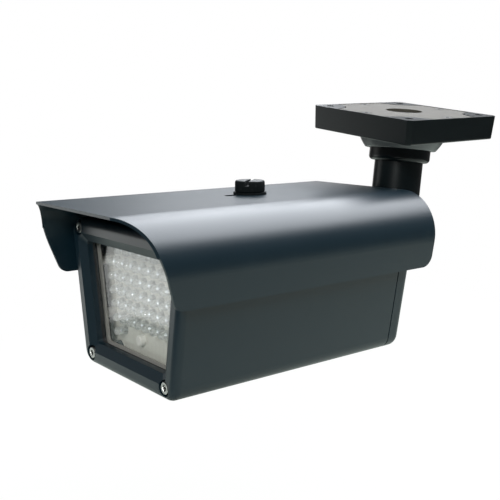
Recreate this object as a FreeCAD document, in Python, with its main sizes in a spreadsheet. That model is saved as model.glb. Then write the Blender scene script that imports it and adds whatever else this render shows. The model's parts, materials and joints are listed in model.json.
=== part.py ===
import FreeCAD, Part
import math
import os
import re

import Sketcher

# Infrared illuminator on a ball bracket.
# A tapered aluminium housing with a glazed LED window hangs from a square ceiling base.
# The elbow arm, the ball and its clamp let the lamp turn, and a bent sunshield slides on top.
# The origin is the middle of the mounting face, the lamp looks along -Y and +Z is up.

SIZES = {
    # Housing section, an extruded wedge that is wider at the top
    "bottom_width": 96.6,
    "side_angle": 9.0,
    "housing_height": 86.5,
    "corner_radius": 9.0,
    "wall": 3.0,
    "seam_depth": 160.0,
    # Screw channels in the four corners of the housing
    "screw_rise": 6.9,
    "screw_drop": 5.8,
    "screw_inset": 9.6,
    "channel_radius": 4.2,
    # Front bezel
    "band_width": 8.2,
    "bevel_width": 5.0,
    "bevel_depth": 3.0,
    "lip_depth": 6.5,
    "edge_round": 4.5,
    "bevel_round": 5.0,
    "window_round": 2.5,
    "glass_lap": 3.0,
    "counterbore_radius": 4.6,
    "counterbore_depth": 4.4,
    # Window glass and what holds it
    "gasket_thickness": 1.0,
    "glass_thickness": 3.0,
    "retainer_thickness": 1.2,
    # LED board, its pillars and the driver behind it
    "pillar_length": 8.0,
    "pillar_radius": 3.0,
    "pillar_inset": 6.8,
    "low_pillar_rise": 28.0,
    "pillar_spacing": 32.0,
    "board_thickness": 1.6,
    "led_radius": 2.5,
    "led_length": 8.0,
    "led_first_rise": 19.5,
    "led_row_pitch": 8.2,
    "led_low_reach": 32.5,
    "led_spread": 0.16,
    "photocell_radius": 3.2,
    "photocell_length": 3.5,
    "photocell_bevel": 0.6,
    "photocell_side": 12.5,
    "photocell_rise": 17.4,
    "driver_spacer_length": 12.0,
    "driver_spacer_radius": 2.5,
    "driver_width": 62.0,
    "driver_height": 50.0,
    "driver_middle": 42.0,
    "driver_inset": 5.0,
    "coil_radius": 9.0,
    "coil_length": 10.0,
    "capacitor_radius": 5.0,
    "capacitor_length": 16.0,
    "terminal_width": 15.0,
    "terminal_height": 10.0,
    "terminal_length": 12.0,
    # Rear cap and its seal
    "seal_thickness": 0.8,
    "seal_inset": 0.6,
    "cap_depth": 10.5,
    "cap_wall": 4.0,
    "cap_round": 5.0,
    "cap_border": 15.5,
    "cable_hole_radius": 9.0,
    "grommet_brim": 1.5,
    "grommet_lap": 2.0,
    # Elbow arm and its flange
    "arm_height": 51.0,
    "arm_radius": 16.7,
    "arm_wall": 4.2,
    "bend_radius": 24.0,
    "arm_lean": 6.45,
    "flange_radius": 27.5,
    "flange_thickness": 6.0,
    "flange_circle_radius": 22.0,
    "flange_fillet": 1.2,
    "arm_gasket_thickness": 1.0,
    # Ball, collar and nut on the top end of the arm
    "ball_overhang": 64.9,
    "ball_height": 142.6,
    "ball_radius": 32.0,
    "ball_wall": 2.8,
    "ball_rim_drop": 2.8,
    "ball_flat_drop": 21.0,
    "ball_floor": 3.0,
    "ball_edge_round": 1.5,
    "neck_radius": 9.0,
    "neck_bore_radius": 6.5,
    "neck_length": 13.0,
    "collar_radius": 21.0,
    "collar_height": 8.6,
    "collar_web": 2.0,
    "collar_round": 3.0,
    "arm_web": 4.0,
    "nut_thickness": 5.6,
    "nut_radius": 11.6,
    # Ceiling base
    "base_width": 90.0,
    "base_height": 16.0,
    "base_draft_angle": 3.0,
    "base_chamfer": 3.0,
    "base_floor": 3.5,
    "base_rim": 1.5,
    "base_edge_round": 1.2,
    "base_roll_angle": 6.5,
    "base_pitch_angle": 1.65,
    "pad_radius": 23.0,
    "ball_depth": 6.0,
    "mount_inset": 9.0,
    "mount_hole_radius": 2.75,
    "mount_sink_radius": 5.2,
    "mount_sink_depth": 5.0,
    "plate_thickness": 2.0,
    "plate_gap": 0.6,
    "plate_sunk": 0.2,
    "plate_hole_radius": 12.5,
    "plate_screw_inset": 5.9,
    "plate_post_radius": 3.6,
    "ring_bore_radius": 21.0,
    "ring_drop": 11.7,
    "liner_thickness": 1.0,
    "liner_top_drop": 1.0,
    "liner_low_drop": 11.6,
    "ball_gap": 0.3,
    # Sunshield, its spacer block and its screw
    "shield_thickness": 1.5,
    "shield_gap": 11.0,
    "shield_flat": 40.0,
    "shield_bend": 26.0,
    "shield_low_edge": 53.0,
    "shield_front": 29.4,
    "shield_overhang": 22.0,
    "shield_trim_start": 42.0,
    "shield_trim_slope": 0.59,
    "shield_rake_top": 80.6,
    "shield_rake_slope": 0.34,
    "shield_rake_inset": 1.1,
    "shield_front_round": 6.0,
    "shield_rear_round": 7.0,
    "slot_width": 5.6,
    "slot_front": 70.0,
    "slot_rear": 93.5,
    "thumb_behind": 88.5,
    "thumb_radius": 9.0,
    "thumb_height": 7.1,
    "thumb_chamfer": 0.7,
    "thumb_thread_radius": 2.5,
    "thumb_thread_length": 10.5,
    "thumb_slot_width": 2.5,
    "thumb_slot_depth": 3.0,
    "thumb_turn": 39.7,
    "washer_radius": 10.0,
    "washer_thickness": 1.3,
    "spacer_width": 20.0,
    "spacer_length": 36.0,
    "spacer_round": 3.0,
    "spacer_screw_spacing": 24.0,
    # Fasteners
    "screw_radius": 2.0,
    "head_radius": 3.5,
    "head_height": 4.0,
    "socket_radius": 1.73,
    "socket_depth": 2.2,
    "long_screw": 16.0,
    "short_screw": 10.0,
    "small_screw_radius": 1.5,
    "small_head_radius": 2.75,
    "small_head_height": 2.4,
    "small_socket_radius": 1.15,
    "small_socket_depth": 1.2,
    "small_screw_bite": 5.0,
    "countersunk_head_radius": 3.0,
    "countersunk_length": 8.0,
    "lock_socket_radius": 1.25,
    "head_bevel": 0.3,
    # Clearances
    "thread_gap": 0.05,
    "hole_gap": 0.25,
    "slip_gap": 0.15,
    "turn_gap": 0.05,
    "end_gap": 0.2,
    # How far a cut starts outside the piece or goes on past it
    "overcut": 1.0,
}
LED_ROWS = 7
LEDS_EACH_SIDE = 4
TOUCHING = 1e-4
NEAR = 0.01

doc = FreeCAD.newDocument("InfraredIlluminator")
sheet = doc.addObject("Spreadsheet::Sheet", "Sizes")
for row, (name, value) in enumerate(SIZES.items(), start=1):
    sheet.set(f"A{row}", name)
    sheet.set(f"B{row}", str(value))
    sheet.setAlias(f"B{row}", name)
doc.recompute()


# Formulas

def bound(formula):
    """Write a formula of size names as one that points at the cells of the sheet."""
    def cell(match):
        word = match.group()
        return "Sizes." + word if word in SIZES else word
    return re.sub(r"[a-z][a-z_]*", cell, str(formula))


def number(formula):
    """Work a formula out with the sheet's present values."""
    return float(sheet.evalExpression(bound(formula)))


def half_width(height):
    """Half the outer width of the housing at a height above its bottom."""
    return f"(bottom_width / 2 + ({height}) * tan(side_angle))"


LOW_SCREW = (f"({half_width('screw_rise')} - screw_inset)", "screw_rise")
TOP_SCREW_RISE = "(housing_height - screw_drop)"
TOP_SCREW = (f"({half_width(TOP_SCREW_RISE)} - screw_inset)", TOP_SCREW_RISE)
BEZEL_DEPTH = "(lip_depth + gasket_thickness + glass_thickness)"
WINDOW_EDGE = "(band_width + bevel_width)"
GLASS_EDGE = f"({WINDOW_EDGE} - glass_lap)"
BOARD_DEPTH = f"({BEZEL_DEPTH} + retainer_thickness + pillar_length)"
BOARD_BACK = f"({BOARD_DEPTH} + board_thickness)"
DRIVER_DEPTH = f"({BOARD_BACK} + driver_spacer_length)"
DRIVER_BACK = f"({DRIVER_DEPTH} + board_thickness)"
CAP_FRONT = "(seam_depth + seal_thickness)"
CAP_REAR = f"({CAP_FRONT} + cap_depth)"
FLANGE_FRONT = f"({CAP_REAR} + arm_gasket_thickness)"
SHIELD_UNDER = "(housing_height + shield_gap)"
SHIELD_TOP = f"({SHIELD_UNDER} + shield_thickness)"
BALL_BEHIND = "(seam_depth + ball_overhang)"
BALL_INSIDE = "(ball_radius - ball_wall)"
PLATE_SCREW_REACH = "(base_width / 2 - base_rim - plate_screw_inset)"
MOUNT_REACH = "(base_width / 2 - mount_inset)"


# Frames

def tilt_of_base():
    """The ceiling base is rolled and pitched about the middle of its mounting face."""
    roll = FreeCAD.Rotation(FreeCAD.Vector(0, 1, 0), number("base_roll_angle"))
    pitch = FreeCAD.Rotation(FreeCAD.Vector(1, 0, 0), number("base_pitch_angle"))
    return roll.multiply(pitch)


ORIGIN = FreeCAD.Vector(0, 0, 0)
BASE_FRAME = FreeCAD.Placement(ORIGIN, tilt_of_base())
BALL_CENTRE = BASE_FRAME.multVec(FreeCAD.Vector(0, 0, -number("ball_depth")))
SEAT_FRAME = FreeCAD.Placement(BALL_CENTRE, tilt_of_base())
LEAN = FreeCAD.Rotation(FreeCAD.Vector(1, 0, 0), -number("arm_lean"))
BALL_FRAME = FreeCAD.Placement(BALL_CENTRE, LEAN)
BALL_ON_HEAD = FreeCAD.Vector(0, number(BALL_BEHIND), number("ball_height"))
HEAD_FRAME = FreeCAD.Placement(BALL_CENTRE - BALL_ON_HEAD, FreeCAD.Rotation())


def on_head(x, y, z, turn=0.0):
    """A place on the lamp, from the bottom middle of the bezel's front."""
    spot = FreeCAD.Vector(number(x), number(y), number(z))
    spin = FreeCAD.Rotation(FreeCAD.Vector(0, 0, 1), turn)
    return HEAD_FRAME.multiply(FreeCAD.Placement(spot, spin))


# Document helpers

nodes = []


def new_body(name, place, exported=True):
    body = doc.addObject("PartDesign::Body", name)
    body.Label = name
    body.Placement = place
    if exported:
        nodes.append(body)
    return body


def new_sketch(body, name, plane, offset=None):
    """A sketch on one of the body's own planes, moved along that plane's normal."""
    sketch = body.newObject("Sketcher::SketchObject", name)
    support = [f for f in body.Origin.OriginFeatures if f.Role == plane + "_Plane"][0]
    sketch.AttachmentSupport = (support, [""])
    sketch.MapMode = "FlatFace"
    if offset is not None:
        sketch.setExpression("AttachmentOffset.Base.z", bound(offset))
    return sketch


def depth_sketch(body, name, depth):
    """A sketch across the lamp, at a depth behind the bezel's front."""
    return new_sketch(body, name, "XZ", f"-({depth})")


def pin_point(sketch, geometry, vertex, x, y):
    """Tie a point of a sketch to its two coordinates."""
    for kind, axis, formula in (("DistanceX", -2, x), ("DistanceY", -1, y)):
        value = number(formula)
        if abs(value) < TOUCHING:
            sketch.addConstraint(Sketcher.Constraint("PointOnObject", geometry, vertex, axis))
        else:
            index = sketch.addConstraint(
                Sketcher.Constraint(kind, -1, 1, geometry, vertex, value))
            sketch.setExpression(f"Constraints[{index}]", bound(formula))


def add_circle(sketch, x, y, radius):
    centre = FreeCAD.Vector(number(x), number(y), 0)
    circle = Part.Circle(centre, FreeCAD.Vector(0, 0, 1), number(radius))
    geometry = sketch.addGeometry(circle, False)
    pin_point(sketch, geometry, 3, x, y)
    index = sketch.addConstraint(Sketcher.Constraint("Radius", geometry, number(radius)))
    sketch.setExpression(f"Constraints[{index}]", bound(radius))


def add_loop(sketch, points, arcs=None, closed=True):
    """Lines through the points. arcs says, by the number of its first point, where an arc
    goes instead: its centre, its radius and whether it turns left."""
    arcs = arcs or {}
    spots = [FreeCAD.Vector(number(x), number(y), 0) for x, y in points]
    count = len(points) if closed else len(points) - 1
    ends = []
    for i in range(count):
        here = spots[i]
        there = spots[(i + 1) % len(points)]
        if i not in arcs:
            geometry = sketch.addGeometry(Part.LineSegment(here, there), False)
            ends.append((geometry, 1, 2))
            continue
        (cx, cy), radius, left = arcs[i]
        centre = FreeCAD.Vector(number(cx), number(cy), 0)
        first, last = (here, there) if left else (there, here)
        start = math.atan2(first.y - centre.y, first.x - centre.x)
        stop = math.atan2(last.y - centre.y, last.x - centre.x)
        if stop <= start:
            stop += 2 * math.pi
        circle = Part.Circle(centre, FreeCAD.Vector(0, 0, 1), number(radius))
        geometry = sketch.addGeometry(Part.ArcOfCircle(circle, start, stop), False)
        ends.append((geometry, 1, 2) if left else (geometry, 2, 1))
    for i in range(count):
        geometry, start, stop = ends[i]
        if closed or i + 1 < count:
            following = ends[(i + 1) % count]
            sketch.addConstraint(
                Sketcher.Constraint("Coincident", geometry, stop, following[0], following[1]))
        pin_point(sketch, geometry, start, *points[i])
        if i in arcs:
            radius = arcs[i][1]
            index = sketch.addConstraint(
                Sketcher.Constraint("Radius", geometry, number(radius)))
            sketch.setExpression(f"Constraints[{index}]", bound(radius))
    if not closed:
        geometry, start, stop = ends[-1]
        pin_point(sketch, geometry, stop, *points[-1])


def add_box(sketch, left, right, low, high):
    add_loop(sketch, [(left, low), (right, low), (right, high), (left, high)])


def add_hexagon(sketch, radius, height="0"):
    """A hexagon about a point on the sketch's upright axis."""
    corners = []
    for corner in range(6):
        turn = 60 * corner
        corners.append((f"({radius}) * cos({turn})", f"({height}) + ({radius}) * sin({turn})"))
    add_loop(sketch, corners)


def add_wedge(sketch, inset, radius):
    """The housing's section, moved in from its skin, with its corners rounded."""
    reach = f"(({inset}) + ({radius}))"
    low = reach
    high = f"(housing_height - {reach})"
    low_x = f"({half_width(low)} - {reach} / cos(side_angle))"
    high_x = f"({half_width(high)} - {reach} / cos(side_angle))"
    out = f"({radius}) * cos(side_angle)"
    down = f"({radius}) * sin(side_angle)"
    points = [
        (f"-{low_x}", f"{low} - ({radius})"),
        (low_x, f"{low} - ({radius})"),
        (f"{low_x} + {out}", f"{low} - {down}"),
        (f"{high_x} + {out}", f"{high} - {down}"),
        (high_x, f"{high} + ({radius})"),
        (f"-{high_x}", f"{high} + ({radius})"),
        (f"-({high_x} + {out})", f"{high} - {down}"),
        (f"-({low_x} + {out})", f"{low} - {down}"),
    ]
    arcs = {
        1: ((low_x, low), radius, True),
        3: ((high_x, high), radius, True),
        5: ((f"-{high_x}", high), radius, True),
        7: ((f"-{low_x}", low), radius, True),
    }
    add_loop(sketch, points, arcs)


def add_corner_circles(sketch, radius):
    """One circle at each of the four screw channels."""
    for x, z in (LOW_SCREW, TOP_SCREW):
        add_circle(sketch, x, z, radius)
        add_circle(sketch, f"-{x}", z, radius)


def pad(body, sketch, length, reverse=False):
    feature = body.newObject("PartDesign::Pad", sketch.Name + "Pad")
    feature.Profile = sketch
    feature.setExpression("Length", bound(length))
    feature.Reversed = reverse
    doc.recompute()
    return feature


def deepen(body, sketch, length):
    """Pad a sketch that lies across the lamp towards its back."""
    return pad(body, sketch, length, reverse=True)


def pocket(body, sketch, length=None, reverse=False, both=False):
    """Cut a sketch out of the body, through all of it where no length is given."""
    before = body.Shape.Volume
    feature = body.newObject("PartDesign::Pocket", sketch.Name + "Pocket")
    feature.Profile = sketch
    if length is None:
        feature.Type = 1
    else:
        feature.setExpression("Length", bound(length))
    feature.Reversed = reverse
    if both:
        feature.Midplane = True
    doc.recompute()
    if body.Shape.Volume > before - TOUCHING:
        raise RuntimeError(f"{body.Label}: {sketch.Name} cuts nothing")
    return feature


def loft(body, kind, name, sketches):
    feature = body.newObject(f"PartDesign::{kind}Loft", name)
    feature.Profile = sketches[0]
    feature.Sections = sketches[1:]
    feature.Ruled = True
    doc.recompute()
    return feature


def revolve(body, sketch):
    feature = body.newObject("PartDesign::Revolution", sketch.Name + "Turn")
    feature.Profile = sketch
    feature.ReferenceAxis = (sketch, ["V_Axis"])
    feature.Angle = 360.0
    doc.recompute()
    return feature


def dress(body, kind, size_name, formula, chosen):
    """Fillet or chamfer the edges of the body's tip that the test chooses."""
    base = body.Tip
    names = [f"Edge{i + 1}" for i, edge in enumerate(base.Shape.Edges) if chosen(edge)]
    if not names:
        raise RuntimeError(f"{body.Label}: no edge for the {kind.lower()}")
    feature = body.newObject(f"PartDesign::{kind}", kind)
    feature.Base = (base, names)
    feature.setExpression(size_name, bound(formula))
    doc.recompute()
    return feature


def fillet(body, radius, chosen):
    return dress(body, "Fillet", "Radius", radius, chosen)


def chamfer(body, size, chosen):
    return dress(body, "Chamfer", "Size", size, chosen)


def lies_at(edge, axis, formula):
    """Whether all of an edge lies at one value of a coordinate, in the body's own frame."""
    value = number(formula)
    box = edge.BoundBox
    low, high = {"x": (box.XMin, box.XMax), "y": (box.YMin, box.YMax),
                 "z": (box.ZMin, box.ZMax)}[axis]
    return abs(low - value) < TOUCHING and abs(high - value) < TOUCHING


def runs_along(edge, direction):
    """Whether an edge is straight and parallel to a direction."""
    if not isinstance(edge.Curve, Part.Line):
        return False
    return abs(abs(edge.Curve.Direction.dot(direction)) - 1.0) < TOUCHING


def group(name, pattern, places, frame):
    """Put a copy of one piece at each place, as separate solids under one name."""
    copies = []
    for count, (spot, turn) in enumerate(places):
        copy = doc.addObject("Part::Feature", f"{name}_{count + 1}")
        copy.Shape = pattern.Shape.copy()
        copy.Placement = FreeCAD.Placement(spot, turn)
        copies.append(copy)
    whole = doc.addObject("Part::Compound", name)
    whole.Label = name
    whole.Links = copies
    doc.recompute()
    whole.Placement = frame
    nodes.append(whole)
    return whole


TOWARDS_BACK = FreeCAD.Rotation(FreeCAD.Vector(1, 0, 0), 90)
TOWARDS_FRONT = FreeCAD.Rotation(FreeCAD.Vector(1, 0, 0), -90)
UPRIGHT = FreeCAD.Rotation()
UPSIDE_DOWN = FreeCAD.Rotation(FreeCAD.Vector(1, 0, 0), 180)


def spot(x, y, z):
    return FreeCAD.Vector(number(x), number(y), number(z))


def corner_spots(depth):
    """The four screw places at one depth."""
    spots = []
    for x, z in (LOW_SCREW, TOP_SCREW):
        spots.append(spot(x, depth, z))
        spots.append(spot(f"-{x}", depth, z))
    return spots


def pillar_spots():
    """Sideways and upward places of the four pillars, as formulas."""
    places = []
    for rise in ("low_pillar_rise", "(low_pillar_rise + pillar_spacing)"):
        reach = f"({half_width(rise)} - pillar_inset)"
        places += [(reach, rise), (f"-{reach}", rise)]
    return places


# Housing

def make_housing_body():
    body = new_body("housing_body", HEAD_FRAME)
    length = f"seam_depth - {BEZEL_DEPTH}"
    skin = depth_sketch(body, "HousingSkin", BEZEL_DEPTH)
    add_wedge(skin, "0", "corner_radius")
    deepen(body, skin, length)
    bore = depth_sketch(body, "HousingBore", BEZEL_DEPTH)
    add_wedge(bore, "wall", "corner_radius - wall")
    pocket(body, bore)
    webs = depth_sketch(body, "ChannelWebs", BEZEL_DEPTH)
    for side in ("", "-"):
        for (x, z), low, high in ((LOW_SCREW, "wall / 2", "screw_rise"),
                                  (TOP_SCREW, TOP_SCREW_RISE, "(housing_height - wall / 2)")):
            add_box(webs, f"{side}({x} - channel_radius)", f"{side}({x} + channel_radius)",
                    low, high)
    deepen(body, webs, length)
    channels = depth_sketch(body, "Channels", BEZEL_DEPTH)
    add_corner_circles(channels, "channel_radius")
    deepen(body, channels, length)
    threads = depth_sketch(body, "ChannelThreads", BEZEL_DEPTH)
    add_corner_circles(threads, "screw_radius + thread_gap")
    pocket(body, threads)
    holes = new_sketch(body, "SpacerHoles", "XY", "housing_height + overcut")
    for side in ("-", "+"):
        add_circle(holes, "0", f"thumb_behind {side} spacer_screw_spacing / 2",
                   "screw_radius + hole_gap")
    pocket(body, holes, "wall + 2 * overcut")


def make_front_bezel():
    body = new_body("front_bezel", HEAD_FRAME)
    skin = depth_sketch(body, "BezelSkin", "0")
    add_wedge(skin, "0", "corner_radius")
    deepen(body, skin, BEZEL_DEPTH)
    fillet(body, "edge_round", lambda edge: lies_at(edge, "y", "0"))
    wide = depth_sketch(body, "BevelFront", "0")
    add_wedge(wide, "band_width", "bevel_round")
    narrow = depth_sketch(body, "BevelBack", "bevel_depth")
    add_wedge(narrow, WINDOW_EDGE, "window_round")
    loft(body, "Subtractive", "Bevel", [wide, narrow])
    window = depth_sketch(body, "Window", "bevel_depth / 2")
    add_wedge(window, WINDOW_EDGE, "window_round")
    pocket(body, window)
    rebate = depth_sketch(body, "GlassRebate", "lip_depth")
    add_wedge(rebate, GLASS_EDGE, "window_round + glass_lap")
    pocket(body, rebate)
    holes = depth_sketch(body, "BezelHoles", "0")
    add_corner_circles(holes, "screw_radius + hole_gap")
    pocket(body, holes)
    sinks = depth_sketch(body, "BezelCounterbores", "0")
    add_corner_circles(sinks, "counterbore_radius")
    pocket(body, sinks, "counterbore_depth")
    taps = depth_sketch(body, "PillarTaps", BEZEL_DEPTH)
    for x, z in pillar_spots():
        add_circle(taps, x, z, "small_screw_radius + thread_gap")
    pocket(body, taps, "small_screw_bite + overcut", reverse=True)


def make_window():
    gasket = new_body("window_gasket", HEAD_FRAME)
    frame = depth_sketch(gasket, "GasketFrame", "lip_depth")
    add_wedge(frame, f"{GLASS_EDGE} + slip_gap", "window_round + glass_lap - slip_gap")
    add_wedge(frame, WINDOW_EDGE, "window_round")
    deepen(gasket, frame, "gasket_thickness")

    glass = new_body("window_glass", HEAD_FRAME)
    pane = depth_sketch(glass, "Pane", "lip_depth + gasket_thickness")
    add_wedge(pane, f"{GLASS_EDGE} + slip_gap", "window_round + glass_lap - slip_gap")
    deepen(glass, pane, "glass_thickness")

    retainer = new_body("glass_retainer", HEAD_FRAME)
    plate = depth_sketch(retainer, "RetainerPlate", BEZEL_DEPTH)
    add_wedge(plate, "wall + hole_gap", "corner_radius - wall - hole_gap")
    add_wedge(plate, WINDOW_EDGE, "window_round")
    deepen(retainer, plate, "retainer_thickness")
    cut_round_channels(retainer, "Retainer", BEZEL_DEPTH)
    drill_for_pillars(retainer, "Retainer", BEZEL_DEPTH)


def cut_round_channels(body, name, depth):
    """Notches that clear the housing's screw channels, open to the sheet's outer edge."""
    notches = depth_sketch(body, name + "Notches", depth)
    reach = "(channel_radius + hole_gap)"
    for side in ("", "-"):
        x, z = LOW_SCREW
        add_box(notches, f"{side}({x} - {reach})", f"{side}({x} + {reach})", "0", z)
        x, z = TOP_SCREW
        add_box(notches, f"{side}({x} - {reach})", f"{side}({x} + {reach})",
                z, "housing_height")
    pocket(body, notches)
    rounds = depth_sketch(body, name + "Rounds", depth)
    add_corner_circles(rounds, reach)
    pocket(body, rounds)


def drill_for_pillars(body, name, depth):
    holes = depth_sketch(body, name + "Holes", depth)
    for x, z in pillar_spots():
        add_circle(holes, x, z, "small_screw_radius + hole_gap")
    pocket(body, holes)


def make_led_board():
    board = new_body("led_board", HEAD_FRAME)
    sheet_outline = depth_sketch(board, "BoardOutline", BOARD_DEPTH)
    add_wedge(sheet_outline, "wall + hole_gap", "corner_radius - wall - hole_gap")
    deepen(board, sheet_outline, "board_thickness")
    cut_round_channels(board, "Board", BOARD_DEPTH)
    drill_for_pillars(board, "Board", BOARD_DEPTH)

    pillar = new_body("PillarPattern", FreeCAD.Placement(), exported=False)
    tube = new_sketch(pillar, "PillarTube", "XY")
    add_circle(tube, "0", "0", "pillar_radius")
    add_circle(tube, "0", "0", "small_screw_radius + hole_gap")
    pad(pillar, tube, "pillar_length")
    places = []
    for x, z in pillar_spots():
        places.append((spot(x, BOARD_DEPTH, z), TOWARDS_BACK))
    group("board_pillars", pillar, places, HEAD_FRAME)


def led_places():
    """Rows that fan out with the housing's taper. The lowest row has only its end lamps,
    and the top row leaves them out."""
    places = []
    for row in range(LED_ROWS):
        rise = number(f"led_first_rise + {row} * led_row_pitch")
        reach = number(f"led_low_reach + {row} * led_row_pitch * led_spread")
        columns = range(-LEDS_EACH_SIDE, LEDS_EACH_SIDE + 1)
        if row == 0:
            columns = (-LEDS_EACH_SIDE, LEDS_EACH_SIDE)
        elif row == LED_ROWS - 1:
            columns = columns[1:-1]
        for column in columns:
            places.append((column * reach / LEDS_EACH_SIDE, rise))
    return places


def make_leds():
    lamp = new_body("LedPattern", FreeCAD.Placement(), exported=False)
    profile = new_sketch(lamp, "LedProfile", "XZ")
    points = [("0", "0"), ("led_radius", "0"), ("led_radius", "led_length - led_radius"),
              ("0", "led_length")]
    add_loop(profile, points, {2: (("0", "led_length - led_radius"), "led_radius", True)})
    revolve(lamp, profile)
    depth = number(BOARD_DEPTH)
    places = [(FreeCAD.Vector(x, depth, z), TOWARDS_BACK) for x, z in led_places()]
    group("led_array", lamp, places, HEAD_FRAME)

    cell = new_body("photocell", HEAD_FRAME)
    disc = depth_sketch(cell, "CellDisc", f"{BOARD_DEPTH} - photocell_length")
    add_circle(disc, "-photocell_side", "photocell_rise", "photocell_radius")
    deepen(cell, disc, "photocell_length")
    chamfer(cell, "photocell_bevel",
            lambda edge: lies_at(edge, "y", f"{BOARD_DEPTH} - photocell_length"))


def make_driver():
    board = new_body("driver_board", HEAD_FRAME)
    outline = depth_sketch(board, "DriverOutline", DRIVER_DEPTH)
    add_box(outline, "-driver_width / 2", "driver_width / 2",
            "driver_middle - driver_height / 2", "driver_middle + driver_height / 2")
    deepen(board, outline, "board_thickness")

    spacer = new_body("SpacerPattern", FreeCAD.Placement(), exported=False)
    rod = new_sketch(spacer, "SpacerRod", "XY")
    add_circle(rod, "0", "0", "driver_spacer_radius")
    pad(spacer, rod, "driver_spacer_length")
    places = []
    for side in ("-", ""):
        for way in ("-", "+"):
            place = spot(f"{side}(driver_width / 2 - driver_inset)", DRIVER_DEPTH,
                         f"driver_middle {way} (driver_height / 2 - driver_inset)")
            places.append((place, TOWARDS_BACK))
    group("driver_spacers", spacer, places, HEAD_FRAME)

    coil = new_body("driver_coil", HEAD_FRAME)
    drum = depth_sketch(coil, "CoilDrum", DRIVER_BACK)
    add_circle(drum, "-driver_width / 4", "driver_middle", "coil_radius")
    deepen(coil, drum, "coil_length")

    capacitor = new_body("driver_capacitor", HEAD_FRAME)
    can = depth_sketch(capacitor, "CapacitorCan", DRIVER_BACK)
    add_circle(can, "driver_width / 8", "driver_middle + driver_height / 5",
               "capacitor_radius")
    deepen(capacitor, can, "capacitor_length")

    terminal = new_body("terminal_block", HEAD_FRAME)
    block = depth_sketch(terminal, "TerminalBlock", DRIVER_BACK)
    add_box(block, "driver_width / 4 - terminal_width / 2", "driver_width / 4 + terminal_width / 2",
            "driver_middle - driver_height / 4 - terminal_height / 2",
            "driver_middle - driver_height / 4 + terminal_height / 2")
    deepen(terminal, block, "terminal_length")


def make_rear_cap():
    seal = new_body("rear_cap_seal", HEAD_FRAME)
    frame = depth_sketch(seal, "SealFrame", "seam_depth")
    add_wedge(frame, "seal_inset", "corner_radius - seal_inset")
    add_wedge(frame, "wall", "corner_radius - wall")
    deepen(seal, frame, "seal_thickness")

    cap = new_body("rear_cap", HEAD_FRAME)
    skin = depth_sketch(cap, "CapSkin", CAP_FRONT)
    add_wedge(skin, "0", "corner_radius")
    deepen(cap, skin, "cap_depth")
    fillet(cap, "cap_round", lambda edge: lies_at(edge, "y", CAP_REAR))
    hollow = depth_sketch(cap, "CapHollow", CAP_FRONT)
    add_wedge(hollow, "cap_border", "window_round")
    pocket(cap, hollow, "cap_depth - cap_wall")
    holes = depth_sketch(cap, "CapHoles", CAP_FRONT)
    add_corner_circles(holes, "screw_radius + hole_gap")
    add_circle(holes, "0", "arm_height", "cable_hole_radius")
    add_flange_circles(holes, "screw_radius + thread_gap")
    pocket(cap, holes)
    sinks = depth_sketch(cap, "CapCounterbores", CAP_REAR)
    add_corner_circles(sinks, "counterbore_radius")
    pocket(cap, sinks, "counterbore_depth", reverse=True)


def flange_spots():
    """The four places on the flange's screw circle, as formulas."""
    reach = "flange_circle_radius * cos(45)"
    places = []
    for side in ("", "-"):
        for way in ("+", "-"):
            places.append((f"{side}{reach}", f"arm_height {way} {reach}"))
    return places


def add_flange_circles(sketch, radius):
    for x, z in flange_spots():
        add_circle(sketch, x, z, radius)


def make_grommet():
    body = new_body("cable_grommet", HEAD_FRAME)
    brim = depth_sketch(body, "GrommetBrim", f"{CAP_REAR} - cap_wall - grommet_brim")
    add_circle(brim, "0", "arm_height", "cable_hole_radius + grommet_lap")
    add_circle(brim, "0", "arm_height", "cable_hole_radius / 2")
    deepen(body, brim, "grommet_brim")
    plug = depth_sketch(body, "GrommetPlug", f"{CAP_REAR} - cap_wall")
    add_circle(plug, "0", "arm_height", "cable_hole_radius - slip_gap")
    add_circle(plug, "0", "arm_height", "cable_hole_radius / 2")
    deepen(body, plug, "cap_wall")


# Bracket arm

def arm_point(below_ball):
    """A point on the leaning post, a distance below the ball's centre, as formulas."""
    return (f"({BALL_BEHIND} - ({below_ball}) * sin(arm_lean))",
            f"(ball_height - ({below_ball}) * cos(arm_lean))")


ARM_TOP = "(ball_flat_drop + collar_web + end_gap)"
ELBOW_DROP = "((ball_height - arm_height) / cos(arm_lean))"
ELBOW_TANGENT = "(bend_radius * tan((90 - arm_lean) / 2))"


def arm_path(body, name, top):
    """Along the lamp's axis, round the elbow and up the post."""
    path = new_sketch(body, name, "YZ")
    elbow_y = arm_point(ELBOW_DROP)[0]
    bend_start = (f"({elbow_y} - {ELBOW_TANGENT})", "arm_height")
    bend_end = (f"({elbow_y} + {ELBOW_TANGENT} * sin(arm_lean))",
                f"(arm_height + {ELBOW_TANGENT} * cos(arm_lean))")
    points = [(FLANGE_FRONT, "arm_height"), bend_start, bend_end, arm_point(top)]
    centre = (bend_start[0], "(arm_height + bend_radius)")
    add_loop(path, points, {1: (centre, "bend_radius", True)}, closed=False)
    return path


def pipe(body, kind, profile, path):
    feature = body.newObject(f"PartDesign::{kind}Pipe", profile.Name + "Pipe")
    feature.Profile = profile
    feature.Spine = (path, ["Edge1", "Edge2", "Edge3"])
    doc.recompute()
    return feature


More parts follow.
